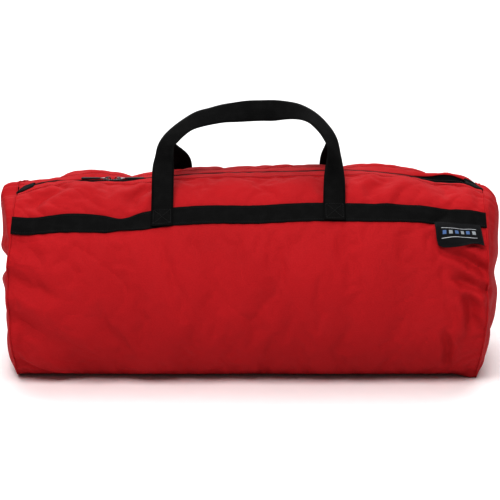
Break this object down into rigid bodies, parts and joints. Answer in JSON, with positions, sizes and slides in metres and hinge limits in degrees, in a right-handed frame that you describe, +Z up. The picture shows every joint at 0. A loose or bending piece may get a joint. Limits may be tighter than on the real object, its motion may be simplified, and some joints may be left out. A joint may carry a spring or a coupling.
{
  "type": "hockey equipment bag",
  "caption": "Soft cylindrical duffel for ice hockey kit, red cloth with black webbing bands, lean-together carry handles and a two-way zip along the top that opens as a mouth",
  "frame": {"origin": "on the floor, at the middle of the base, bottom centre of the bounding box", "axes": "+X along the bag towards its right end as seen from the front, -Y out of the front, +Z up"},
  "size_m": [0.914, 0.396, 0.486],
  "materials": {
    "red_cloth": "matte woven nylon, slightly creased",
    "black_webbing": "ribbed woven webbing",
    "black_binding": "folded woven tape",
    "zip_tape": "fine twill zip tape",
    "zip_teeth": "moulded teeth, satin",
    "slider_metal": "black lacquered die-cast, worn bright on the edges",
    "link_metal": "plain bright steel",
    "grip_rubber": "moulded soft grip",
    "label_weave": "woven satin tag with a plain geometric motif"
  },
  "bodies": {
    "shell": {"front_panel": "red_cloth", "back_panel": "red_cloth", "bottom_panel": "red_cloth", "end_panel_left": "red_cloth", "end_panel_right": "red_cloth", "end_binding_left": "black_binding", "end_binding_right": "black_binding", "band_front": "black_webbing", "band_back": "black_webbing", "handle_feet_front": "black_webbing", "handle_feet_back": "black_webbing", "zip_facing_front": "red_cloth", "zip_facing_back": "red_cloth", "zip_tape_front": "zip_tape", "zip_tape_back": "zip_tape", "zip_teeth_front": "zip_teeth", "zip_teeth_back": "zip_teeth", "zip_end_tab_left": "black_binding", "zip_end_tab_right": "black_binding"},
    "slider_left": {"slider_left": "slider_metal"},
    "pull_left": {"pull_link_left": "link_metal", "pull_grip_left": "grip_rubber"},
    "slider_right": {"slider_right": "slider_metal"},
    "pull_right": {"pull_link_right": "link_metal", "pull_grip_right": "grip_rubber"},
    "mouth_front": {"mouth_lip_front": "red_cloth", "mouth_zip_facing_front": "red_cloth", "mouth_zip_tape_front": "zip_tape", "mouth_zip_teeth_front": "zip_teeth"},
    "mouth_back": {"mouth_lip_back": "red_cloth", "mouth_zip_facing_back": "red_cloth", "mouth_zip_tape_back": "zip_tape", "mouth_zip_teeth_back": "zip_teeth"},
    "handle_front": {"handle_loop_front": "black_webbing"},
    "handle_back": {"handle_loop_back": "black_webbing"},
    "label": {"label_tag": "label_weave"}
  },
  "joints": [
    {"name": "slider_left_travel", "type": "slide", "parent": "shell", "child": "slider_left", "axis": [-1, 0, 0], "range_m": [0, 0.115]},
    {"name": "pull_left_flip", "type": "hinge", "parent": "slider_left", "child": "pull_left", "pos_m": [-0.255, -0.008, 0.3436], "axis": [0, 1, 0], "range_deg": [0, 90]},
    {"name": "slider_right_travel", "type": "slide", "parent": "shell", "child": "slider_right", "axis": [1, 0, 0], "range_m": [0, 0.608]},
    {"name": "pull_right_flip", "type": "hinge", "parent": "slider_right", "child": "pull_right", "pos_m": [-0.237, -0.008, 0.3436], "axis": [0, -1, 0], "range_deg": [0, 90]},
    {"name": "mouth_front_fold", "type": "hinge", "parent": "shell", "child": "mouth_front", "pos_m": [0.075, -0.088, 0.3395], "axis": [-1, 0, 0], "range_deg": [0, 80]},
    {"name": "mouth_back_fold", "type": "hinge", "parent": "shell", "child": "mouth_back", "pos_m": [0.075, 0.072, 0.3395], "axis": [1, 0, 0], "range_deg": [0, 80]},
    {"name": "handle_front_swing", "type": "hinge", "parent": "shell", "child": "handle_front", "pos_m": [0, -0.12669, 0.32326], "axis": [1, 0, 0], "range_deg": [0, 150]},
    {"name": "handle_back_swing", "type": "hinge", "parent": "shell", "child": "handle_back", "pos_m": [0.012, 0.12669, 0.32326], "axis": [-1, 0, 0], "range_deg": [0, 150]},
    {"name": "label_flip", "type": "hinge", "parent": "shell", "child": "label", "pos_m": [0.36, -0.15448, 0.29135], "axis": [-1, 0, 0], "range_deg": [0, 135]}
  ],
  "couplings": [
    {"joint": "mouth_front_fold", "follows": "slider_right_travel", "rad_per_m": 2.2942},
    {"joint": "mouth_back_fold", "follows": "slider_right_travel", "rad_per_m": 2.2942}
  ]
}
